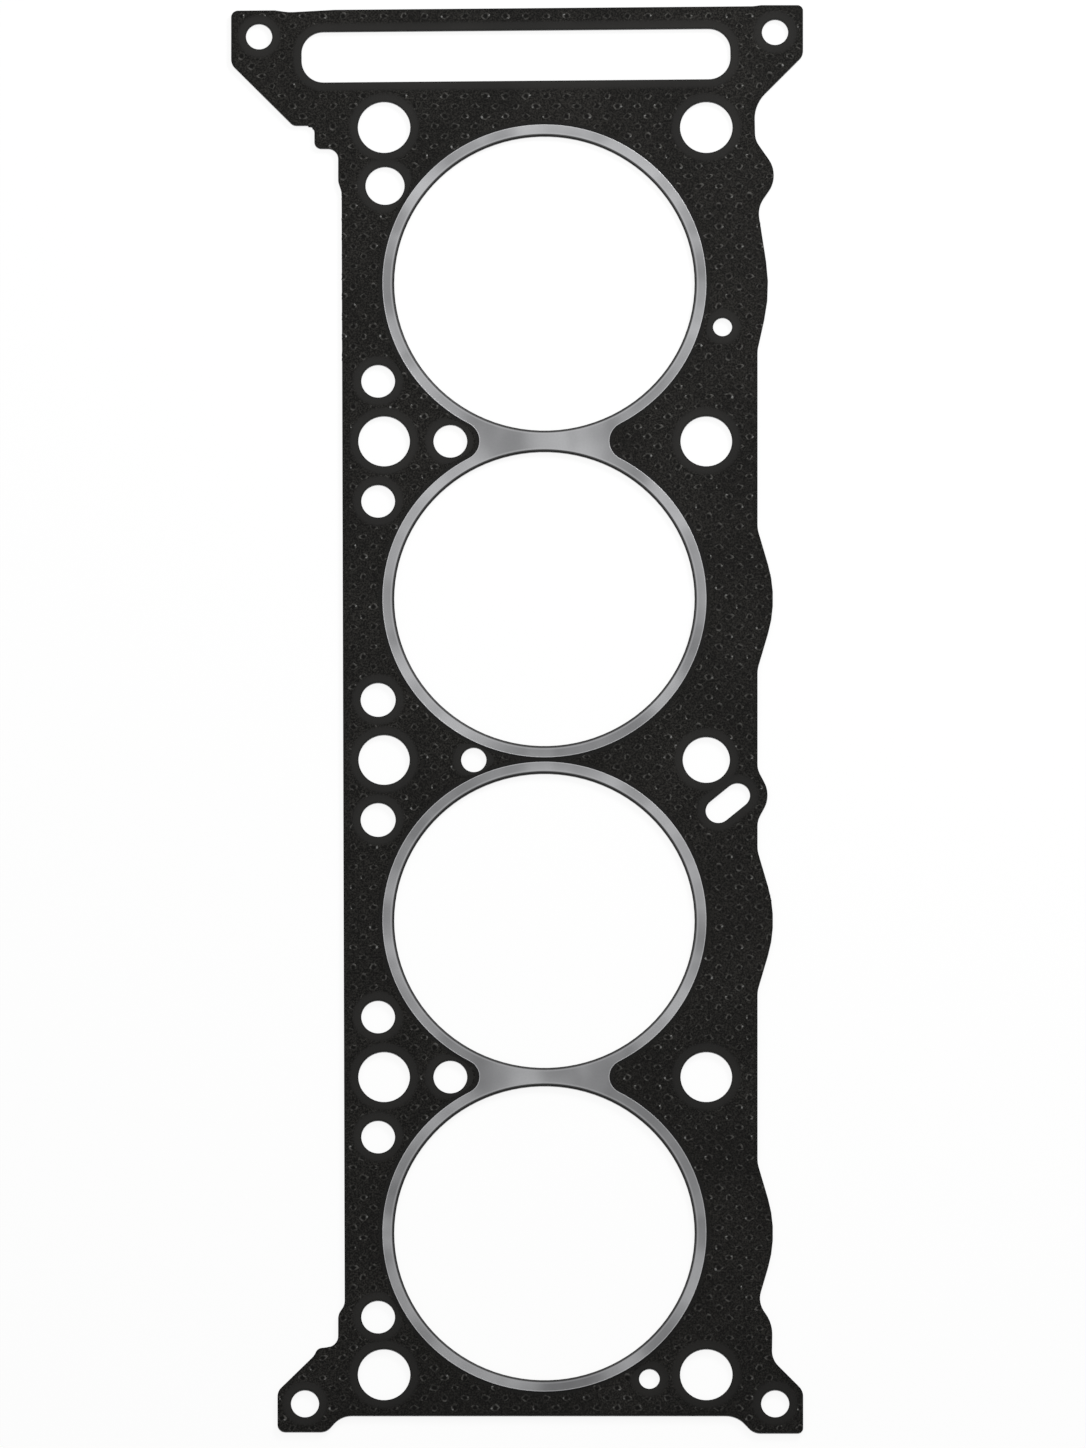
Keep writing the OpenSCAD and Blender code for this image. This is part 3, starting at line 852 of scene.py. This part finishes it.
def boreSheenGroup():
    # distance from the nearest bore's axis in millimetres, and a sheen in soft sectors round it
    group, given, result = shaderGroup(
        "boreSheen",
        [("Sector Scale", "NodeSocketFloat", 5.0), ("Change Along", "NodeSocketFloat", 6.0),
         ("Depth", "NodeSocketFloat", 0.1)],
        [("Radius", "NodeSocketFloat"), ("Sheen", "NodeSocketFloat")])
    place = group.nodes.new("ShaderNodeTexCoord").outputs["Object"]
    split = group.nodes.new("ShaderNodeSeparateXYZ")
    group.links.new(place, split.inputs[0])
    across = math2(group, "SUBTRACT", split.outputs["X"], float(boreCentres[0][0]))
    along = None
    for centre in boreCentres:
        offset = math2(group, "SUBTRACT", split.outputs["Y"], float(centre[1]))
        here = math2(group, "ABSOLUTE", offset)
        along = here if along is None else math2(group, "MINIMUM", along, here)
    radius = math2(group, "SQRT", math2(group, "ADD", math2(group, "MULTIPLY", across, across),
                                        math2(group, "MULTIPLY", along, along)))
    group.links.new(math2(group, "DIVIDE", radius, mm), result.inputs["Radius"])
    way = group.nodes.new("ShaderNodeCombineXYZ")
    group.links.new(math2(group, "DIVIDE", across, radius), way.inputs["X"])
    group.links.new(math2(group, "DIVIDE", along, radius), way.inputs["Y"])
    group.links.new(math2(group, "MULTIPLY", split.outputs["Y"], given.outputs["Change Along"]),
                    way.inputs["Z"])
    sectors = group.nodes.new("ShaderNodeTexNoise")
    sectors.inputs["Detail"].default_value = ringFinish["sectorDetail"]
    group.links.new(way.outputs[0], sectors.inputs["Vector"])
    group.links.new(given.outputs["Sector Scale"], sectors.inputs["Scale"])
    low = math2(group, "SUBTRACT", 1.0, given.outputs["Depth"])
    high = math2(group, "ADD", 1.0, given.outputs["Depth"])
    sheen = ramp(group, sectors.outputs["Fac"], *ringFinish["sectorSpread"], low, high)
    group.links.new(sheen, result.inputs["Sheen"])
    return group


def rolledSteelGroup():
    group, given, result = shaderGroup(
        "rolledSteel",
        [("Patch Scale", "NodeSocketFloat", 34.0), ("Base", "NodeSocketColor", (0.4, 0.4, 0.4, 1)),
         ("Dull", "NodeSocketColor", (0.3, 0.3, 0.3, 1)), ("Rough", "NodeSocketFloat", 0.36)],
        [("Color", "NodeSocketColor"), ("Roughness", "NodeSocketFloat"),
         ("Height", "NodeSocketFloat")])
    f = ringFinish
    place = group.nodes.new("ShaderNodeTexCoord").outputs["Object"]
    cloud = group.nodes.new("ShaderNodeTexNoise")
    cloud.inputs["Detail"].default_value = f["patchDetail"]
    group.links.new(place, cloud.inputs["Vector"])
    group.links.new(given.outputs["Patch Scale"], cloud.inputs["Scale"])
    share = ramp(group, cloud.outputs["Fac"], *f["patchSpread"])
    grain = noiseOn(group, place, *f["grainNoise"])
    colour = blendColour(group, share, given.outputs["Dull"], given.outputs["Base"])
    colour = scaledColour(group, colour, ramp(group, grain, *noiseMiddle, *f["grainDepth"]))
    group.links.new(colour, result.inputs["Color"])
    spread = math2(group, "MULTIPLY", math2(group, "SUBTRACT", grain, 0.5), f["roughSpread"])
    group.links.new(math2(group, "ADD", given.outputs["Rough"], spread), result.inputs["Roughness"])
    group.links.new(grain, result.inputs["Height"])
    return group


def steelMaterial(name, steel, base, dull, rough, patchScale):
    material, tree, surface = newMaterial(name)
    given = groupIn(tree, steel)
    given.inputs["Patch Scale"].default_value = patchScale
    given.inputs["Base"].default_value = (*base, 1)
    given.inputs["Dull"].default_value = (*dull, 1)
    given.inputs["Rough"].default_value = rough
    tree.links.new(given.outputs["Color"], surface.inputs["Base Color"])
    surface.inputs["Metallic"].default_value = 1.0
    tree.links.new(given.outputs["Roughness"], surface.inputs["Roughness"])
    bump = bumpFrom(tree, given.outputs["Height"], ringFinish["bumpDepth"],
                    ringFinish["bumpStrength"])
    tree.links.new(bump, surface.inputs["Normal"])
    return material, tree, surface, given.outputs["Color"]


def ringMaterial(steel, boreSheen):
    f = ringFinish
    material, tree, surface, colour = steelMaterial("ring_steel", steel, f["base"], f["dull"],
                                                    f["rough"], f["patchScale"])
    bore = groupIn(tree, boreSheen)
    bore.inputs["Sector Scale"].default_value = f["sectorScale"]
    bore.inputs["Change Along"].default_value = f["sectorChange"]
    bore.inputs["Depth"].default_value = f["sectorDepth"]
    radius = bore.outputs["Radius"]
    colour = scaledColour(tree, colour, bore.outputs["Sheen"])
    # painted bands round each bore: a highlight where the lip starts, shade on the lip and the wall
    bands = ((f["lipHighlightTo"], f["lipHighlight"], f["lipHighlightShare"]),
             (f["lipTo"], f["lipShadeTone"], f["lipShare"]),
             (f["wallTo"], f["wallShadeTone"], f["wallShare"]))
    for (start, end), tone, strength in bands:
        share = math2(tree, "MULTIPLY", ramp(tree, radius, start, end, 1.0, 0.0), strength)
        colour = blendColour(tree, share, colour, tone)
    tree.links.new(colour, surface.inputs["Base Color"])
    return material


coreFinish = {
    "base": (0.30, 0.30, 0.31),
    "dull": (0.20, 0.20, 0.205),
    "rough": 0.42,
    "patchScale": 160.0,
}

groundGroup = facingGroundGroup()
steelGroup = rolledSteelGroup()
boreGroup = boreSheenGroup()
facingCoat = facingMaterial(groundGroup)
markCoat = markMaterial(groundGroup)
ringSteel = ringMaterial(steelGroup, boreGroup)
ringEdgeSteel = steelMaterial("ring_edge_steel", steelGroup, ringFinish["edgeHighlightBase"],
                              ringFinish["edgeHighlightDim"], ringFinish["rough"],
                              ringFinish["patchScale"])[0]
coreSteel = steelMaterial("core_steel", steelGroup, coreFinish["base"], coreFinish["dull"],
                          coreFinish["rough"], coreFinish["patchScale"])[0]
finishOf = {"upper_facing": facingCoat, "lower_facing": facingCoat, "tanged_core": coreSteel,
            "front_fire_ring_pair": ringSteel, "rear_fire_ring_pair": ringSteel}
for name, material in finishOf.items():
    nodes[name].data.materials.clear()
    nodes[name].data.materials.append(material)
print("finishes made")


upperCoating = coatingStrips("upper_coating", facingTop, 1, facingCoat, upperFlanges)
lowerCoating = coatingStrips("lower_coating", facingUnder, -1, facingCoat, lowerFlanges)
print("coating strips:", len(upperCoating.data.polygons), "and",
      len(lowerCoating.data.polygons), "faces")

variantSet = bpy.data.collections.new("tangMarkVariants")
for k in range(tangMark["variants"]):
    piece = tangMarkVariant(k, markCoat)
    bpy.context.scene.collection.objects.unlink(piece)
    variantSet.objects.link(piece)
strew = strewTree()
grid = tangGrid()
upperMarks = tangMarks("upper_tang_marks", facingTop, False, tangMark["upperSeed"], strew,
                       variantSet, markCoat, grid, upperFlanges)
lowerMarks = tangMarks("lower_tang_marks", facingUnder, True, tangMark["lowerSeed"], strew,
                       variantSet, markCoat, grid, lowerFlanges)
for piece in list(variantSet.objects):
    bpy.data.objects.remove(piece)
bpy.data.collections.remove(variantSet)

# The rolled edge of each flange: a flat roll swept along its outline, just inside it. The roll's
# shape catches light, and its lighter steel adds a painted highlight all round.
flangeEdge = {
    "halfWidth": 0.16 * mm,
    "halfHeight": 0.05 * mm,
    "inset": 0.15 * mm,
    "proud": 0.01 * mm,
    "resolution": 12,
}


def edgeRollTree():
    tree = bpy.data.node_groups.new("flangeEdgeRoll", "GeometryNodeTree")
    addSockets(tree, (("Geometry", "Geometry"), ("Half Width", "Float"), ("Half Height", "Float"),
                      ("Resolution", "Int"), ("Finish", "Material")))
    new, link = tree.nodes.new, tree.links.new
    given, result = new("NodeGroupInput"), new("NodeGroupOutput")
    path, section = new("GeometryNodeMeshToCurve"), new("GeometryNodeCurvePrimitiveCircle")
    sweep, upright = new("GeometryNodeCurveToMesh"), new("GeometryNodeSetCurveNormal")
    real, finish = new("GeometryNodeRealizeInstances"), new("GeometryNodeSetMaterial")
    upright.mode = "Z_UP"
    link(given.outputs["Geometry"], path.inputs[0])
    link(given.outputs["Resolution"], section.inputs["Resolution"])
    section.inputs["Radius"].default_value = 1.0
    size, flat = new("ShaderNodeCombineXYZ"), new("GeometryNodeTransform")
    link(given.outputs["Half Width"], size.inputs["X"])
    link(given.outputs["Half Height"], size.inputs["Y"])
    link(section.outputs[0], flat.inputs["Geometry"])
    link(size.outputs[0], flat.inputs["Scale"])
    link(path.outputs[0], upright.inputs["Curve"])
    link(upright.outputs[0], sweep.inputs["Curve"])
    link(flat.outputs[0], sweep.inputs["Profile Curve"])
    link(sweep.outputs[0], real.inputs[0])
    link(real.outputs[0], finish.inputs["Geometry"])
    link(given.outputs["Finish"], finish.inputs["Material"])
    link(finish.outputs[0], result.inputs[0])
    return tree


def flangeEdges(name, loops, z, tree):
    points, lines = [], []
    for loop in loops:
        first = len(points)
        path = loop - outwardNormals(loop) * flangeEdge["inset"]
        points += [(x, y, z) for x, y in path]
        lines += [(first + k, first + (k + 1) % len(path)) for k in range(len(path))]
    mesh = bpy.data.meshes.new(name)
    mesh.from_pydata(points, lines, [])
    piece = bpy.data.objects.new(name, mesh)
    bpy.context.scene.collection.objects.link(piece)
    made = applyTree(piece, tree, {
        "Half Width": flangeEdge["halfWidth"], "Half Height": flangeEdge["halfHeight"],
        "Resolution": flangeEdge["resolution"], "Finish": ringEdgeSteel,
    })
    made.data.shade_smooth()
    return made


edgeRoll = edgeRollTree()
upperEdges = flangeEdges("upper_flange_edges", upperFlanges,
                         flangeTop - flangeEdge["halfHeight"] + flangeEdge["proud"], edgeRoll)
lowerEdges = flangeEdges("lower_flange_edges", lowerFlanges, flangeEdge["halfHeight"], edgeRoll)
print("flange edges:", len(upperEdges.data.polygons) + len(lowerEdges.data.polygons), "faces")

for piece, slotName in ((upperCoating, "facing"), (lowerCoating, "facing"),
                        (upperMarks, "facing"), (lowerMarks, "facing"),
                        (upperEdges, "ring_steel"), (lowerEdges, "ring_steel")):
    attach(piece, "root")


studio = {
    "floorSize": 6.0,
    "floorGlow": 0.885,
    "floorTone": 0.14,
    "worldZenith": 0.50,
    "worldHorizon": 0.16,
    "worldFade": (0.05, 0.95),
    "keyPower": 4.3,
    "keyAzimuth": 58.0,
    "keyElevation": 36.0,
    "keyDistance": 0.95,
    "keySize": 0.28,
    "softPower": 1.85,
    "softSize": 0.85,
    "softPlace": (-0.16, 0.42, 0.95),
    "lampAim": (0, 0.05, 0),
    "floorDrop": 0.02 * mm,
    "floorBounce": 0.8,
}
# the photograph's own frame
view = {
    "elevation": 78.5,
    "pixelsHigh": 1448,
    "pixelSize": 0.32 * mm,
    "aim": (-0.70 * mm, 11.38 * mm, 1.7 * mm),
    "distance": 2.0,
}


def paleFloor():
    half = studio["floorSize"] / 2
    z = cadBox[0][2] - studio["floorDrop"]
    corners = [(-half, -half, z), (half, -half, z), (half, half, z), (-half, half, z)]
    floor = makePiece("floor", corners, [(0, 1, 2, 3)], floorMaterial())


def floorMaterial():
    # seen directly it glows near white and keeps the shadow; bounced light sees a plain grey
    material, tree, surface = newMaterial("studio_floor")
    tree.nodes.remove(surface)
    new, link = tree.nodes.new, tree.links.new
    rays = new("ShaderNodeLightPath")
    seen = math2(tree, "ADD", rays.outputs["Is Camera Ray"], rays.outputs["Is Glossy Ray"])
    seen = math2(tree, "ADD", seen, rays.outputs["Is Transmission Ray"], clamp=True)
    plain, faint = new("ShaderNodeBsdfDiffuse"), new("ShaderNodeBsdfDiffuse")
    glow = new("ShaderNodeEmission")
    plain.inputs["Color"].default_value = (*[studio["floorBounce"]] * 3, 1)
    faint.inputs["Color"].default_value = (*[studio["floorTone"]] * 3, 1)
    glow.inputs["Strength"].default_value = studio["floorGlow"]
    both, choice = new("ShaderNodeAddShader"), new("ShaderNodeMixShader")
    link(faint.outputs[0], both.inputs[0])
    link(glow.outputs[0], both.inputs[1])
    link(seen, choice.inputs["Fac"])
    link(plain.outputs[0], choice.inputs[1])
    link(both.outputs[0], choice.inputs[2])
    link(choice.outputs[0], tree.nodes["Material Output"].inputs["Surface"])
    return material


def skyDome():
    world = bpy.data.worlds.new("studio")
    bpy.context.scene.world = world
    world.use_nodes = True
    tree = world.node_tree
    back = tree.nodes["Background"]
    new, link = tree.nodes.new, tree.links.new
    way = new("ShaderNodeTexCoord")
    split = new("ShaderNodeSeparateXYZ")
    link(way.outputs["Generated"], split.inputs[0])
    level = ramp(tree, split.outputs["Z"], *studio["worldFade"],
                 studio["worldHorizon"], studio["worldZenith"])
    rays = new("ShaderNodeLightPath")
    strength = new("ShaderNodeMix")
    link(rays.outputs["Is Camera Ray"], strength.inputs["Factor"])
    link(level, strength.inputs["A"])
    strength.inputs["B"].default_value = 1.0  # plain white where the camera sees it
    back.inputs["Color"].default_value = (1, 1, 1, 1)
    link(strength.outputs["Result"], back.inputs["Strength"])


def towards(azimuth, elevation):
    a, e = math.radians(azimuth), math.radians(elevation)
    return (math.cos(e) * math.cos(a), math.cos(e) * math.sin(a), math.sin(e))


def aimFrom(piece, place, aim):
    piece.location = place
    piece.rotation_euler = (Vector(aim) - Vector(place)).to_track_quat("-Z", "Y").to_euler()


def areaLamp(name, power, size, place):
    lamp = bpy.data.lights.new(name, "AREA")
    lamp.shape = "SQUARE"
    lamp.size = size
    lamp.energy = power
    piece = bpy.data.objects.new(name, lamp)
    bpy.context.scene.collection.objects.link(piece)
    aimFrom(piece, place, studio["lampAim"])


def lamps():
    way = towards(studio["keyAzimuth"], studio["keyElevation"])
    areaLamp("key", studio["keyPower"], studio["keySize"], [studio["keyDistance"] * w for w in way])
    areaLamp("softbox", studio["softPower"], studio["softSize"], studio["softPlace"])


def photoCamera():
    camera = bpy.data.objects.new("camera", bpy.data.cameras.new("camera"))
    bpy.context.scene.collection.objects.link(camera)
    camera.data.type = "ORTHO"
    camera.data.ortho_scale = view["pixelsHigh"] * view["pixelSize"]
    away = towards(-90, view["elevation"])
    aimFrom(camera, [a + view["distance"] * w for a, w in zip(view["aim"], away)], view["aim"])
    bpy.context.scene.camera = camera


paleFloor()
skyDome()
lamps()
photoCamera()
bpy.context.scene.view_settings.view_transform = "Standard"
print("studio ready")
